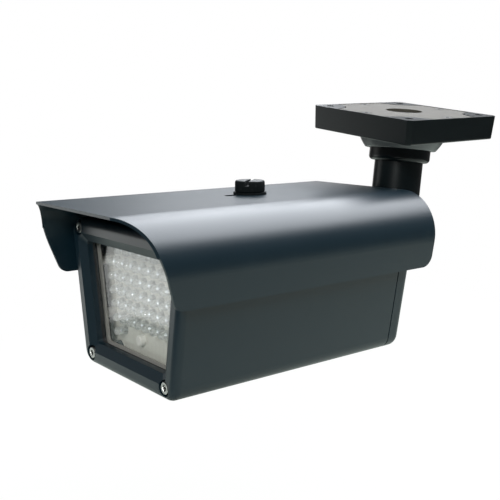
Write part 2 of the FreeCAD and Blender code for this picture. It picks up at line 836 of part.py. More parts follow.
def make_bracket_arm():
    body = new_body("bracket_arm", HEAD_FRAME)
    path = arm_path(body, "ArmPath", ARM_TOP)
    rod = depth_sketch(body, "ArmOutside", FLANGE_FRONT)
    add_circle(rod, "0", "arm_height", "arm_radius")
    pipe(body, "Additive", rod, path)
    flange = depth_sketch(body, "ArmFlange", FLANGE_FRONT)
    add_circle(flange, "0", "arm_height", "flange_radius")
    deepen(body, flange, "flange_thickness")
    root = number(f"{FLANGE_FRONT} + flange_thickness")
    radius = number("arm_radius")
    fillet(body, "flange_fillet", lambda edge: lies_at(edge, "y", root)
           and abs(edge.BoundBox.XLength - 2 * radius) < NEAR)
    bore_path = arm_path(body, "BorePath", f"{ARM_TOP} + arm_web")
    bore = depth_sketch(body, "ArmBore", FLANGE_FRONT)
    add_circle(bore, "0", "arm_height", "arm_radius - arm_wall")
    pipe(body, "Subtractive", bore, bore_path)
    eye = body.newObject("PartDesign::SubtractiveCylinder", "NeckHole")
    eye.setExpression("Radius", bound("neck_radius + turn_gap"))
    eye.setExpression("Height", bound("arm_web + 2 * overcut"))
    y, z = arm_point(f"{ARM_TOP} + arm_web + overcut")
    eye.Placement = FreeCAD.Placement(spot("0", y, z), LEAN)
    doc.recompute()
    holes = depth_sketch(body, "FlangeHoles", FLANGE_FRONT)
    add_flange_circles(holes, "screw_radius + hole_gap")
    pocket(body, holes, "flange_thickness + overcut")

    gasket = new_body("arm_gasket", HEAD_FRAME)
    disc = depth_sketch(gasket, "ArmGasketDisc", CAP_REAR)
    add_circle(disc, "0", "arm_height", "flange_radius")
    add_circle(disc, "0", "arm_height", "cable_hole_radius")
    add_flange_circles(disc, "screw_radius + hole_gap")
    deepen(gasket, disc, "arm_gasket_thickness")


# Ball, collar and nut, about the post's axis with the ball's centre as origin

def arc_reach(radius, drop):
    """How far out a sphere's surface is at a drop below its centre."""
    return f"sqrt(({radius}) ^ 2 - ({drop}) ^ 2)"


def make_swivel_ball():
    body = new_body("swivel_ball", BALL_FRAME)
    floor = "(ball_flat_drop - ball_floor)"
    end = "(ball_flat_drop + neck_length)"
    profile = new_sketch(body, "BallProfile", "XZ")
    points = [
        ("neck_bore_radius", f"-{floor}"),
        ("neck_bore_radius", f"-{end}"),
        ("neck_radius", f"-{end}"),
        ("neck_radius", "-ball_flat_drop"),
        (arc_reach("ball_radius", "ball_flat_drop"), "-ball_flat_drop"),
        (arc_reach("ball_radius", "ball_rim_drop"), "-ball_rim_drop"),
        (arc_reach(BALL_INSIDE, "ball_rim_drop"), "-ball_rim_drop"),
        (arc_reach(BALL_INSIDE, floor), f"-{floor}"),
    ]
    arcs = {4: (("0", "0"), "ball_radius", True), 6: (("0", "0"), BALL_INSIDE, False)}
    add_loop(profile, points, arcs)
    revolve(body, profile)
    edge_reach = number(arc_reach("ball_radius", "ball_flat_drop"))
    fillet(body, "ball_edge_round", lambda edge: lies_at(edge, "z", "-ball_flat_drop")
           and abs(edge.BoundBox.XMax - edge_reach) < NEAR)


def make_collar():
    body = new_body("ball_collar", BALL_FRAME)
    profile = new_sketch(body, "CollarProfile", "XZ")
    top = "-ball_flat_drop"
    web = "-(ball_flat_drop + collar_web)"
    low = "-(ball_flat_drop + collar_height)"
    points = [
        ("neck_radius + thread_gap", top),
        ("neck_radius + thread_gap", web),
        ("arm_radius + turn_gap", web),
        ("arm_radius + turn_gap", low),
        ("collar_radius - collar_round", low),
        ("collar_radius", f"{low} + collar_round"),
        ("collar_radius", top),
    ]
    centre = ("collar_radius - collar_round", f"{low} + collar_round")
    add_loop(profile, points, {4: (centre, "collar_round", True)})
    revolve(body, profile)
    tap = new_sketch(body, "LockTap", "XZ", "-(collar_radius + overcut)")
    add_circle(tap, "0", LOCK_HEIGHT, "screw_radius + thread_gap")
    pocket(body, tap, "collar_radius - arm_radius + 2 * overcut", reverse=True)

    grub = new_body("collar_lock_screw", BALL_FRAME)
    rod = new_sketch(grub, "GrubRod", "XZ", "-(arm_radius + slip_gap)")
    add_circle(rod, "0", LOCK_HEIGHT, "screw_radius")
    pad(grub, rod, "collar_radius - arm_radius - 2 * slip_gap", reverse=True)
    socket = new_sketch(grub, "GrubSocket", "XZ", "-(collar_radius - slip_gap)")
    add_hexagon(socket, "lock_socket_radius", LOCK_HEIGHT)
    pocket(grub, socket, "socket_depth", reverse=True)


LOCK_HEIGHT = "(-(ball_flat_drop + collar_web) - (collar_height - collar_web) / 2)"


def make_neck_nut():
    body = new_body("neck_nut", BALL_FRAME)
    top = f"-({ARM_TOP} + arm_web + end_gap)"
    hexagon = new_sketch(body, "NutHexagon", "XY", top)
    add_hexagon(hexagon, "nut_radius")
    add_circle(hexagon, "0", "0", "neck_radius + thread_gap")
    pad(body, hexagon, "nut_thickness", reverse=True)


# Ceiling base, with the mounting face at height 0 and the ball's centre below it

def add_chamfered_square(sketch, half):
    cut = f"(({half}) - base_chamfer)"
    h = f"({half})"
    corners = [(cut, f"-{h}"), (h, f"-{cut}"), (h, cut), (cut, h),
               (f"-{cut}", h), (f"-{h}", cut), (f"-{h}", f"-{cut}"), (f"-{cut}", f"-{h}")]
    add_loop(sketch, corners)


def add_recess(sketch, gap):
    """The recess between the rims and the four round corner pads."""
    side = f"(base_width / 2 - base_rim - ({gap}))"
    radius = f"(pad_radius + ({gap}))"
    corner = "(base_width / 2)"
    near = f"({corner} - sqrt({radius} ^ 2 - ({corner} - {side}) ^ 2))"
    points = [(side, f"-{near}"), (side, near), (near, side), (f"-{near}", side),
              (f"-{side}", near), (f"-{side}", f"-{near}"), (f"-{near}", f"-{side}"),
              (near, f"-{side}")]
    arcs = {1: ((corner, corner), radius, False), 3: ((f"-{corner}", corner), radius, False),
            5: ((f"-{corner}", f"-{corner}"), radius, False),
            7: ((corner, f"-{corner}"), radius, False)}
    add_loop(sketch, points, arcs)


def plate_screw_spots():
    reach = PLATE_SCREW_REACH
    return [(reach, "0"), (f"-{reach}", "0"), ("0", reach), ("0", f"-{reach}")]


def add_plate_screw_circles(sketch, radius):
    for x, y in plate_screw_spots():
        add_circle(sketch, x, y, radius)


def add_mount_circles(sketch, radius):
    for x in (MOUNT_REACH, f"-{MOUNT_REACH}"):
        for y in (MOUNT_REACH, f"-{MOUNT_REACH}"):
            add_circle(sketch, x, y, radius)


def make_base_shell():
    body = new_body("base_shell", BASE_FRAME)
    top = new_sketch(body, "BaseTop", "XY")
    add_chamfered_square(top, "base_width / 2")
    block = pad(body, top, "base_height", reverse=True)
    block.setExpression("TaperAngle", bound("-base_draft_angle"))
    doc.recompute()
    fillet(body, "base_edge_round", lambda edge: lies_at(edge, "z", "-base_height"))
    seat = new_sketch(body, "PlateSeat", "XY")
    add_recess(seat, "0")
    pocket(body, seat, "plate_thickness + plate_sunk")
    cavity = new_sketch(body, "BaseCavity", "XY")
    add_recess(cavity, "0")
    add_plate_screw_circles(cavity, "plate_post_radius")
    pocket(body, cavity, "base_height - base_floor")
    ball = body.newObject("PartDesign::SubtractiveSphere", "BallSeat")
    ball.setExpression("Radius", bound("ball_radius + ball_gap"))
    ball.Placement = FreeCAD.Placement(spot("0", "0", "-ball_depth"), UPRIGHT)
    doc.recompute()
    taps = new_sketch(body, "PlateTaps", "XY")
    add_plate_screw_circles(taps, "small_screw_radius + thread_gap")
    pocket(body, taps, "plate_thickness + plate_sunk + countersunk_length")
    holes = new_sketch(body, "MountHoles", "XY")
    add_mount_circles(holes, "mount_hole_radius")
    pocket(body, holes)
    sinks = new_sketch(body, "MountSinks", "XY", "-base_height")
    add_mount_circles(sinks, "mount_sink_radius")
    pocket(body, sinks, "mount_sink_depth", reverse=True)


def make_clamp_plate():
    body = new_body("clamp_plate", BASE_FRAME)
    under = "-(plate_thickness + plate_sunk)"
    outline = new_sketch(body, "PlateOutline", "XY", under)
    add_recess(outline, "plate_gap")
    add_circle(outline, "0", "0", "plate_hole_radius")
    add_plate_screw_circles(outline, "small_screw_radius + hole_gap")
    pad(body, outline, "plate_thickness")
    reach = number("small_screw_radius + hole_gap")
    chamfer(body, "countersunk_head_radius - small_screw_radius",
            lambda edge: lies_at(edge, "z", "-plate_sunk")
            and abs(edge.BoundBox.XLength - 2 * reach) < NEAR)

    ring = new_body("ball_clamp_ring", SEAT_FRAME)
    top = "(ball_depth - plate_thickness - plate_sunk)"
    radius = f"({BALL_INSIDE} - 2 * ball_gap - liner_thickness)"
    profile = new_sketch(ring, "RingProfile", "XZ")
    points = [("ring_bore_radius", "-ring_drop"), (arc_reach(radius, "ring_drop"), "-ring_drop"),
              (arc_reach(radius, top), top), ("ring_bore_radius", top)]
    add_loop(profile, points, {1: (("0", "0"), radius, True)})
    revolve(ring, profile)

    liner = new_body("friction_liner", SEAT_FRAME)
    outside = f"({BALL_INSIDE} - ball_gap)"
    inside = f"({outside} - liner_thickness)"
    profile = new_sketch(liner, "LinerProfile", "XZ")
    points = [(arc_reach(inside, "liner_low_drop"), "-liner_low_drop"),
              (arc_reach(outside, "liner_low_drop"), "-liner_low_drop"),
              (arc_reach(outside, "liner_top_drop"), "-liner_top_drop"),
              (arc_reach(inside, "liner_top_drop"), "-liner_top_drop")]
    arcs = {1: (("0", "0"), outside, True), 3: (("0", "0"), inside, False)}
    add_loop(profile, points, arcs)
    revolve(liner, profile)


# Sunshield

def shield_half(inset):
    """Right half of the bent sheet's section, from the flat top to the skirt's low edge."""
    radius = f"(shield_bend - ({inset}))"
    axis = f"({SHIELD_TOP} - shield_bend)"
    tangent = (f"(shield_flat + {radius} * cos(side_angle))",
               f"({axis} - {radius} * sin(side_angle))")
    fall = f"(({tangent[1]} - shield_low_edge) * tan(side_angle))"
    return [("shield_flat", f"({axis} + {radius})"), tangent,
            (f"({tangent[0]} - {fall})", "shield_low_edge")]


def mirrored(corners):
    return [(f"-{x}", z) for x, z in corners]


def is_skirt_corner(edge, at_front):
    """Whether an edge crosses the sheet's thickness at a low corner of the skirt."""
    box = edge.BoundBox
    crosses = edge.Length < 1.5 * number("shield_thickness")
    return (crosses and box.ZMin < number("shield_low_edge") + TOUCHING
            and (box.YMax < 0) == at_front)


def make_sunshield():
    body = new_body("sunshield", HEAD_FRAME)
    section = depth_sketch(body, "ShieldSection", "-shield_front")
    outer = shield_half("0")
    inner = shield_half("shield_thickness")
    points = outer + inner[::-1] + mirrored(inner) + mirrored(outer)[::-1]
    axis = f"({SHIELD_TOP} - shield_bend)"
    thin = "(shield_bend - shield_thickness)"
    arcs = {0: (("shield_flat", axis), "shield_bend", False),
            4: (("shield_flat", axis), thin, True),
            6: (("-shield_flat", axis), thin, True),
            10: (("-shield_flat", axis), "shield_bend", False)}
    add_loop(section, points, arcs)
    deepen(body, section, "shield_front + seam_depth + shield_overhang")
    trim = new_sketch(body, "FrontTrim", "XY", f"{SHIELD_TOP} + overcut")
    for side in ("", "-"):
        far = "(shield_flat + shield_bend + overcut)"
        add_loop(trim, [(f"{side}shield_trim_start", "-(shield_front + overcut)"),
                        (f"{side}{far}", "-(shield_front + overcut)"),
                        (f"{side}{far}",
                         f"-shield_front + ({far} - shield_trim_start) * shield_trim_slope"),
                        (f"{side}shield_trim_start", "-shield_front")])
    pocket(body, trim, f"{SHIELD_TOP} - shield_low_edge + 2 * overcut")
    rake = new_sketch(body, "FrontRake", "YZ")
    start = ("-shield_front + (shield_flat + shield_bend - shield_rake_inset"
             " - shield_trim_start) * shield_trim_slope")
    low = "(shield_low_edge - overcut)"
    add_loop(rake, [("-(shield_front + overcut)", low),
                    (f"{start} + (shield_rake_top - {low}) * shield_rake_slope", low),
                    (start, "shield_rake_top"),
                    ("-(shield_front + overcut)", "shield_rake_top")])
    pocket(body, rake, both=True)
    half = "(slot_width / 2)"
    slot = new_sketch(body, "ScrewSlot", "XY", f"{SHIELD_TOP} + overcut")
    add_box(slot, f"-{half}", half, f"slot_front + {half}", f"slot_rear - {half}")
    pocket(body, slot, "shield_thickness + 2 * overcut")
    ends = new_sketch(body, "SlotEnds", "XY", f"{SHIELD_TOP} + overcut")
    add_circle(ends, "0", f"slot_front + {half}", half)
    add_circle(ends, "0", f"slot_rear - {half}", half)
    pocket(body, ends, "shield_thickness + 2 * overcut")
    fillet(body, "shield_rear_round", lambda edge: is_skirt_corner(edge, at_front=False))
    fillet(body, "shield_front_round", lambda edge: is_skirt_corner(edge, at_front=True))


def make_shield_spacer():
    body = new_body("shield_spacer", HEAD_FRAME)
    outline = new_sketch(body, "SpacerOutline", "XY", "housing_height")
    add_box(outline, "-spacer_width / 2", "spacer_width / 2",
            "thumb_behind - spacer_length / 2", "thumb_behind + spacer_length / 2")
    pad(body, outline, "shield_gap")
    fillet(body, "spacer_round", lambda edge: runs_along(edge, FreeCAD.Vector(0, 0, 1)))
    tap = new_sketch(body, "ThumbTap", "XY", "housing_height")
    add_circle(tap, "0", "thumb_behind", "thumb_thread_radius + turn_gap")
    pocket(body, tap, reverse=True)
    taps = new_sketch(body, "SpacerTaps", "XY", "housing_height")
    for side in ("-", "+"):
        add_circle(taps, "0", f"thumb_behind {side} spacer_screw_spacing / 2",
                   "screw_radius + thread_gap")
    pocket(body, taps, "short_screw - wall + overcut", reverse=True)


def make_thumb_screw():
    place = on_head("0", "thumb_behind", f"{SHIELD_TOP} + washer_thickness",
                    number("thumb_turn"))
    body = new_body("thumb_screw", place)
    profile = new_sketch(body, "ThumbProfile", "XZ")
    add_loop(profile, [("0", "-thumb_thread_length"),
                       ("thumb_thread_radius", "-thumb_thread_length"),
                       ("thumb_thread_radius", "0"),
                       ("thumb_radius", "0"),
                       ("thumb_radius", "thumb_height - thumb_chamfer"),
                       ("thumb_radius - thumb_chamfer", "thumb_height"),
                       ("0", "thumb_height")])
    revolve(body, profile)
    slot = new_sketch(body, "ThumbSlot", "XY", "thumb_height")
    add_box(slot, "-thumb_slot_width / 2", "thumb_slot_width / 2",
            "-(thumb_radius + overcut)", "thumb_radius + overcut")
    pocket(body, slot, "thumb_slot_depth")

    washer = new_body("thumb_screw_washer", on_head("0", "thumb_behind", SHIELD_TOP))
    disc = new_sketch(washer, "WasherDisc", "XY")
    add_circle(disc, "0", "0", "washer_radius")
    add_circle(disc, "0", "0", "thumb_thread_radius + turn_gap * 2")
    pad(washer, disc, "washer_thickness")


# Fasteners, modelled head up with the seat of the head at height 0

def cap_screw(name, length, radius="screw_radius", head="head_radius", height="head_height",
              socket="socket_radius", depth="socket_depth"):
    body = new_body(name, FreeCAD.Placement(), exported=False)
    profile = new_sketch(body, name + "Profile", "XZ")
    add_loop(profile, [("0", f"-({length})"), (radius, f"-({length})"), (radius, "0"),
                       (head, "0"), (head, f"{height} - head_bevel"),
                       (f"{head} - head_bevel", height), ("0", height)])
    revolve(body, profile)
    hexagon = new_sketch(body, name + "Socket", "XY", height)
    add_hexagon(hexagon, socket)
    pocket(body, hexagon, depth)
    return body


def make_screws():
    long_screw = cap_screw("LongScrew", "long_screw")
    seat = "counterbore_depth"
    group("bezel_screws", long_screw,
          [(place, TOWARDS_BACK) for place in corner_spots(seat)], HEAD_FRAME)
    group("rear_cap_screws", long_screw,
          [(place, TOWARDS_FRONT) for place in corner_spots(f"{CAP_REAR} - {seat}")],
          HEAD_FRAME)
    short_screw = cap_screw("ShortScrew", "short_screw")
    face = f"{FLANGE_FRONT} + flange_thickness"
    group("arm_flange_screws", short_screw,
          [(spot(x, face, z), TOWARDS_FRONT) for x, z in flange_spots()], HEAD_FRAME)
    under = "housing_height - wall"
    places = []
    for side in ("-", "+"):
        place = spot("0", f"thumb_behind {side} spacer_screw_spacing / 2", under)
        places.append((place, UPSIDE_DOWN))
    group("shield_spacer_screws", short_screw, places, HEAD_FRAME)
    length = "board_thickness + pillar_length + retainer_thickness + small_screw_bite"
    board_screw = cap_screw("BoardScrew", length, "small_screw_radius", "small_head_radius",
                            "small_head_height", "small_socket_radius", "small_socket_depth")
    group("board_screws", board_screw,
          [(spot(x, BOARD_BACK, z), TOWARDS_FRONT) for x, z in pillar_spots()], HEAD_FRAME)

    flush = new_body("FlushScrew", FreeCAD.Placement(), exported=False)
    profile = new_sketch(flush, "FlushProfile", "XZ")
    cone = "(countersunk_head_radius - small_screw_radius)"
    add_loop(profile, [("0", "-countersunk_length"), ("small_screw_radius", "-countersunk_length"),
                       ("small_screw_radius", f"-{cone}"), ("countersunk_head_radius", "0"),
                       ("0", "0")])
    revolve(flush, profile)
    hexagon = new_sketch(flush, "FlushSocket", "XY")
    add_hexagon(hexagon, "small_socket_radius")
    pocket(flush, hexagon, "small_socket_depth")
    group("clamp_plate_screws", flush,
          [(spot(x, y, "-plate_sunk"), UPRIGHT) for x, y in plate_screw_spots()], BASE_FRAME)


# Build and export

make_housing_body()
make_front_bezel()
make_window()
make_led_board()
make_leds()
make_driver()
make_rear_cap()
make_grommet()
make_bracket_arm()
make_swivel_ball()
make_collar()
make_neck_nut()
make_base_shell()
make_clamp_plate()
make_sunshield()
make_shield_spacer()
make_thumb_screw()
make_screws()
doc.recompute()

for item in doc.Objects:
    if "Invalid" in item.State or "Error" in item.State:
        raise RuntimeError(f"{item.Label} did not compute: {item.State}")
for node in nodes:
    if node.Shape.isNull() or not node.Shape.isValid():
        raise RuntimeError(f"{node.Label} has no valid shape")

os.makedirs("parts", exist_ok=True)
for node in nodes:
    node.Shape.exportStep(f"parts/{node.Label}.step")
    print(f"{node.Label}: {len(node.Shape.Solids)} solids, {node.Shape.Volume / 1000:.2f} cm3")
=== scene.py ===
import bmesh
import bpy
import json
import math
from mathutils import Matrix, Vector


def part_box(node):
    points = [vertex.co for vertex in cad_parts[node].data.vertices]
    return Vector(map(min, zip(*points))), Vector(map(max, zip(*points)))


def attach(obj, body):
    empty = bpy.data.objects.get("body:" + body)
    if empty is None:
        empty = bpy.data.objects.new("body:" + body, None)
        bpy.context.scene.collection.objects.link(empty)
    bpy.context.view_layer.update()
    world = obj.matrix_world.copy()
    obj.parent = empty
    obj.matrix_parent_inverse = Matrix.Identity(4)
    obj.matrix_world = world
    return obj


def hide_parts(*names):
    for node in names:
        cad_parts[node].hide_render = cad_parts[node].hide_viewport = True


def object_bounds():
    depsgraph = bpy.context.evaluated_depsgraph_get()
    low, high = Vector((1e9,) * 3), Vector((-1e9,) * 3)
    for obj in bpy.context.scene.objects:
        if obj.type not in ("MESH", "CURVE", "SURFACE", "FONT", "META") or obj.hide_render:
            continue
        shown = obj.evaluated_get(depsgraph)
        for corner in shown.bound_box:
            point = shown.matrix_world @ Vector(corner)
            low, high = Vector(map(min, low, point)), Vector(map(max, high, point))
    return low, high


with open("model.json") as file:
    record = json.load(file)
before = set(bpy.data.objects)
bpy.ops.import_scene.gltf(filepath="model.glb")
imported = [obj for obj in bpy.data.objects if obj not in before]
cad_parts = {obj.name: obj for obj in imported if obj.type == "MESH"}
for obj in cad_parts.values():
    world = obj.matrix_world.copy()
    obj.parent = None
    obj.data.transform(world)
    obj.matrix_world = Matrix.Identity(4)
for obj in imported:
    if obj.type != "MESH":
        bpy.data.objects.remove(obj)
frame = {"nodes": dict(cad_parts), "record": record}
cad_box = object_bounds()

# Infrared illuminator on a ball bracket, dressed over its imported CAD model.
# Everything is in metres, in the CAD's frame: the lamp looks along -Y and +Z is up.

MM = 0.001

# The camera, in the CAD's frame. Its azimuth turns from +Y towards -X, and it looks down by
# its elevation. Its lens and sensor are in millimetres, and its clip distances in metres.
CAMERA_PLACE = Vector((379.121, -436.827, 0.841)) * MM
CAMERA_AZIMUTH = math.radians(51.63)
CAMERA_ELEVATION = math.radians(9.92)
CAMERA_LENS = 58.0
SENSOR_WIDTH = 36.0
CLIP_NEAR = 0.01
CLIP_FAR = 50.0


# Node trees

class Value:
    """The output of a node, which can be used in sums with numbers and other outputs."""

    def __init__(self, nodes, socket):
        self.nodes = nodes
        self.socket = socket

    def calculated(self, operation, first, second=0.0):
        """The result of one Math node."""
        return self.nodes.node("ShaderNodeMath", {"operation": operation},
                               {0: first, 1: second})

    def __add__(self, other):
        return self.calculated("ADD", self, other)

    __radd__ = __add__

    def __sub__(self, other):
        return self.calculated("SUBTRACT", self, other)

    def __rsub__(self, other):
        return self.calculated("SUBTRACT", other, self)

    def __mul__(self, other):
        return self.calculated("MULTIPLY", self, other)

    __rmul__ = __mul__

    def __truediv__(self, other):
        return self.calculated("DIVIDE", self, other)

    def __rtruediv__(self, other):
        return self.calculated("DIVIDE", other, self)

    def __pow__(self, other):
        return self.calculated("POWER", self, other)

    def __gt__(self, other):
        return self.calculated("GREATER_THAN", self, other)

    def __lt__(self, other):
        return self.calculated("LESS_THAN", self, other)

    def cosine(self):
        return self.calculated("COSINE", self)

    def sine(self):
        return self.calculated("SINE", self)

    def within(self, step):
        """What is left of the value above its last whole step."""
        return self.calculated("FLOORED_MODULO", self, step)

    def or_more(self, other):
        """The larger of two values."""
        return self.calculated("MAXIMUM", self, other)

    def parts(self):
        """The three coordinates of a vector."""
        split = self.nodes.made("ShaderNodeSeparateXYZ", None, {0: self})
        return [Value(self.nodes, output) for output in split.outputs]


class Nodes:
    """A node tree that is filled from Python."""

    def __init__(self, tree):
        self.tree = tree
        tree.nodes.clear()

    def made(self, kind, settings=None, sockets=None):
        """A new node: its settings first, then the values or links of its sockets."""
        made = self.tree.nodes.new(kind)
        for name, setting in (settings or {}).items():
            setattr(made, name, setting)
        for key, content in (sockets or {}).items():
            if isinstance(content, Value):
                self.tree.links.new(content.socket, made.inputs[key])
            else:
                made.inputs[key].default_value = content
        return made

    def node(self, kind, settings=None, sockets=None, output=0):
        """One output of a new node."""
        return Value(self, self.made(kind, settings, sockets).outputs[output])


class Finish(Nodes):
    """The material of one finish, made from patterns on the object's own coordinates."""

    def __init__(self, name):
        self.material = bpy.data.materials.new(name)
        self.material.use_nodes = True
        super().__init__(self.material.node_tree)
        self.place = self.node("ShaderNodeTexCoord", output="Object")

    def stretched(self, x=1.0, y=1.0, z=1.0, turn=0.0):
        """The coordinates, stretched along the axes after a turn about Z."""
        return self.node("ShaderNodeMapping", {"vector_type": "POINT"},
                         {"Vector": self.place, "Rotation": (0.0, 0.0, turn),
                          "Scale": (x, y, z)})

    def noise(self, size, detail=2.0, roughness=0.5, place=None):
        """Noise from 0 to 1 whose grains are about this many metres."""
        return self.node("ShaderNodeTexNoise", None,
                         {"Vector": place or self.place, "Scale": 1.0 / size,
                          "Detail": detail, "Roughness": roughness})

    def between(self, value, low, high):
        """0 below low, 1 above high and smooth in between."""
        return self.node("ShaderNodeMapRange", {"interpolation_type": "SMOOTHSTEP"},
                         {"Value": value, "From Min": low, "From Max": high})

    def mixed(self, share, first, second):
        """A colour that goes from the first to the second."""
        return self.node("ShaderNodeMix", {"data_type": "RGBA"},
                         {"Factor": share, 6: solid(first), 7: solid(second)}, output=2)

    def bumped(self, height, depth, strength, under=None):
        """The normals of a relief this many metres deep, over another relief if one is given."""
        sockets = {"Height": height, "Distance": depth, "Strength": strength}
        if under is not None:
            sockets["Normal"] = under
        return self.node("ShaderNodeBump", None, sockets)

    def surface(self, **sockets):
        """Finish with the standard shader. A word joined by _ names its socket."""
        named = {key.replace("_", " "): content for key, content in sockets.items()}
        shader = self.node("ShaderNodeBsdfPrincipled", None, named)
        self.made("ShaderNodeOutputMaterial", None, {"Surface": shader})
        return self.material


def solid(colour):
    """A colour of three numbers gets its fourth."""
    if isinstance(colour, Value) or len(colour) == 4:
        return colour
    return (*colour, 1.0)


# Finishes

# A texture's Scale counts its cells in a metre, and a wave has about three bands to a cell

def powder_coat(name, dark, light, roughness=0.36, ior=1.5):
    """Satin powder coat: fine orange peel, a finer grain and slightly uneven gloss."""
    coat = Finish(name)
    cloud = coat.noise(45.0 * MM, detail=3.0)
    peel = coat.noise(1.1 * MM, detail=1.0)
    grain = coat.noise(0.32 * MM, detail=2.0, roughness=0.6)
    speck = coat.between(grain, 0.62, 0.78)
    colour = coat.mixed(cloud * 0.7 + speck * 0.3, dark, light)
    gloss = roughness + (cloud - 0.5) * 0.06 + (grain - 0.5) * 0.08
    peeled = coat.bumped(peel, depth=0.02 * MM, strength=0.5)
    grained = coat.bumped(grain, depth=0.008 * MM, strength=0.5, under=peeled)
    return coat.surface(Base_Color=colour, Roughness=gloss, IOR=ior, Normal=grained)


def blacked_steel():
    """Chemically blacked steel of the thumb screw: dull on its knurled side, smoother on its
    turned top, with a trace of edge wear. Its top is also painted lighter, a painted highlight
    where the light falls on it."""
    steel = Finish("blacked_steel")
    rubbed = steel.between(steel.noise(1.6 * MM, detail=4.0), 0.6, 0.74)
    grain = steel.noise(0.3 * MM)
    height = steel.place.parts()[2]
    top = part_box("thumb_screw")[1].z
    # The top's mask smooths the roughness, which is real turning, and lightens the colour, which
    # is a painted highlight
    turned_and_lit_top = steel.between(height, top - 0.6 * MM, top - 0.2 * MM)
    blacked, worn_and_top_lit = (0.001, 0.003, 0.004), (0.06, 0.065, 0.068)
    # The colour mixes random wear with a painted highlight on the top
    colour = steel.mixed(rubbed * 0.2 + turned_and_lit_top * 0.8, blacked, worn_and_top_lit)
    return steel.surface(Base_Color=colour, IOR=1.25,
                         Roughness=0.62 + grain * 0.12 - turned_and_lit_top * 0.34,
                         Normal=steel.bumped(grain, depth=0.006 * MM, strength=0.5))


def screw_steel():
    """Stainless screws with turning marks and a little grime."""
    steel = Finish("screw_steel")
    marks = steel.noise(0.4 * MM, detail=3.0, place=steel.stretched(y=6.0))
    grime = steel.between(steel.noise(2.0 * MM, detail=4.0), 0.5, 0.72)
    bright, grimy = (0.5, 0.5, 0.49), (0.14, 0.135, 0.125)
    return steel.surface(Base_Color=steel.mixed(grime * 0.6, bright, grimy), Metallic=1.0,
                         Roughness=0.24 + marks * 0.12 + grime * 0.15,
                         Normal=steel.bumped(marks, depth=0.008 * MM, strength=0.6))


def plated_steel():
    """Zinc-plated sheet steel with rolling marks, spangle and fine scratches."""
    plate = Finish("plated_steel")
    rolled = plate.noise(0.9 * MM, detail=4.0, place=plate.stretched(x=0.04, turn=0.3))
    spangle = plate.node("ShaderNodeTexVoronoi", None,
                         {"Vector": plate.place, "Scale": 260.0}, output="Distance")
    scratched = plate.between(
        plate.noise(0.5 * MM, detail=5.0, place=plate.stretched(y=0.05, turn=0.9)),
        0.66, 0.74)
    dark, light, scratch = (0.052, 0.048, 0.04), (0.09, 0.084, 0.07), (0.26, 0.255, 0.235)
    zinc = plate.mixed(rolled * 0.6 + spangle * 0.4, dark, light)
    return plate.surface(Base_Color=plate.mixed(scratched * 0.5, zinc, scratch),
                         Metallic=0.15, Roughness=0.5 + rolled * 0.12, IOR=1.25,
                         Normal=plate.bumped(rolled, depth=0.01 * MM, strength=0.6))


def plain_aluminium():
    """Bare aluminium with turning marks round its upright axis."""
    metal = Finish("plain_aluminium")
    turned_marks = metal.noise(0.5 * MM, detail=3.0, place=metal.stretched(z=8.0))
    dull, bright = (0.42, 0.41, 0.38), (0.56, 0.55, 0.52)
    return metal.surface(Base_Color=metal.mixed(turned_marks, dull, bright), Metallic=0.5,
                         Roughness=0.5 + turned_marks * 0.15,
                         Normal=metal.bumped(turned_marks, depth=0.01 * MM, strength=0.5))


def moulded(name, colour, pale, roughness, size=0.8 * MM):
    """A moulded plastic or rubber with a fine even texture."""
    resin = Finish(name)
    texture = resin.noise(size, detail=3.0)
    cloud = resin.noise(20.0 * MM, detail=2.0)
    return resin.surface(Base_Color=resin.mixed(cloud * 0.6 + texture * 0.4, colour, pale),
                         Roughness=roughness + (texture - 0.5) * 0.12,
                         Normal=resin.bumped(texture, depth=0.02 * MM, strength=0.4))


def board_laminate():
    """Pale solder mask over copper, with faint tracks and stains."""
    board = Finish("board_laminate")
    track = board.node("ShaderNodeTexBrick", {"offset": 0.5},
                       {"Vector": board.place, "Scale": 120.0, "Mortar Size": 0.06,
                        "Mortar Smooth": 0.4}, output="Fac")
    stain = board.noise(12.0 * MM, detail=4.0)
    weave = board.noise(0.6 * MM, detail=2.0)
    stained, clean, copper = (0.45, 0.44, 0.39), (0.56, 0.55, 0.5), (0.36, 0.35, 0.32)
    mask = board.mixed(stain * 0.6 + weave * 0.4, stained, clean)
    relief = track + weave * 0.2
    return board.surface(Base_Color=board.mixed(track * 0.2, mask, copper),
                         Roughness=0.42 + weave * 0.1,
                         Normal=board.bumped(relief, depth=0.04 * MM, strength=0.5))


def driver_laminate():
    """Green solder mask over copper tracks."""
    board = Finish("driver_laminate")
    weave = board.noise(0.7 * MM, detail=3.0)
    track = board.node("ShaderNodeTexBrick", {"offset": 0.3},
                       {"Vector": board.place, "Scale": 150.0, "Mortar Size": 0.08},
                       output="Fac")
    mask, copper = (0.02, 0.11, 0.05), (0.06, 0.2, 0.1)
    return board.surface(Base_Color=board.mixed(track * 0.5 + weave * 0.2, mask, copper),
                         Roughness=0.35 + weave * 0.1,
                         Normal=board.bumped(track, depth=0.03 * MM, strength=0.5))


def copper_winding():
    """Enamelled wire: turns about 0.6 mm apart along the coil."""
    wire = Finish("copper_winding")
    turns = wire.node("ShaderNodeTexWave", {"bands_direction": "Y"},
                      {"Vector": wire.place, "Scale": 500.0, "Distortion": 0.4,
                       "Detail": 1.0})
    groove, crest = (0.22, 0.07, 0.03), (0.6, 0.27, 0.12)
    return wire.surface(Base_Color=wire.mixed(turns, groove, crest), Metallic=0.8,
                        Roughness=0.3 + turns * 0.15,
                        Normal=wire.bumped(turns, depth=0.1 * MM, strength=0.8))


